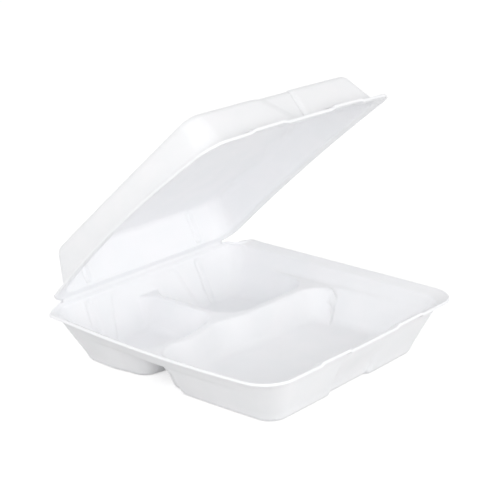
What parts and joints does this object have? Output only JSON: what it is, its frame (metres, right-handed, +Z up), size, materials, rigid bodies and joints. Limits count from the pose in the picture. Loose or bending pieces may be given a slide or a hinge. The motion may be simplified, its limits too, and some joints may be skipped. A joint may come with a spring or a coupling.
{
  "type": "foam clamshell container",
  "caption": "Hinged foam food box: a shallow compartmented tray with a dished flange, and a domed lid that folds up along the rear edge.",
  "frame": {"origin": "on the resting plane under the middle of the tray's floor", "axes": "+X along the rear fold, -Y towards the front of the box, +Z up"},
  "size_m": [0.2412, 0.2349, 0.2082],
  "materials": {
    "tray_foam": "white expanded polystyrene foam sheet with a smooth satin skin",
    "lid_foam": "white expanded polystyrene foam sheet with a smooth satin skin"
  },
  "bodies": {
    "tray": {"tray": "tray_foam"},
    "lid": {"lid": "lid_foam"}
  },
  "joints": [
    {"name": "lid_fold", "type": "hinge", "parent": "tray", "child": "lid", "pos_m": [0, 0.113, 0.04365], "axis": [-1, 0, 0], "range_deg": [-42.3, 137.7]}
  ]
}
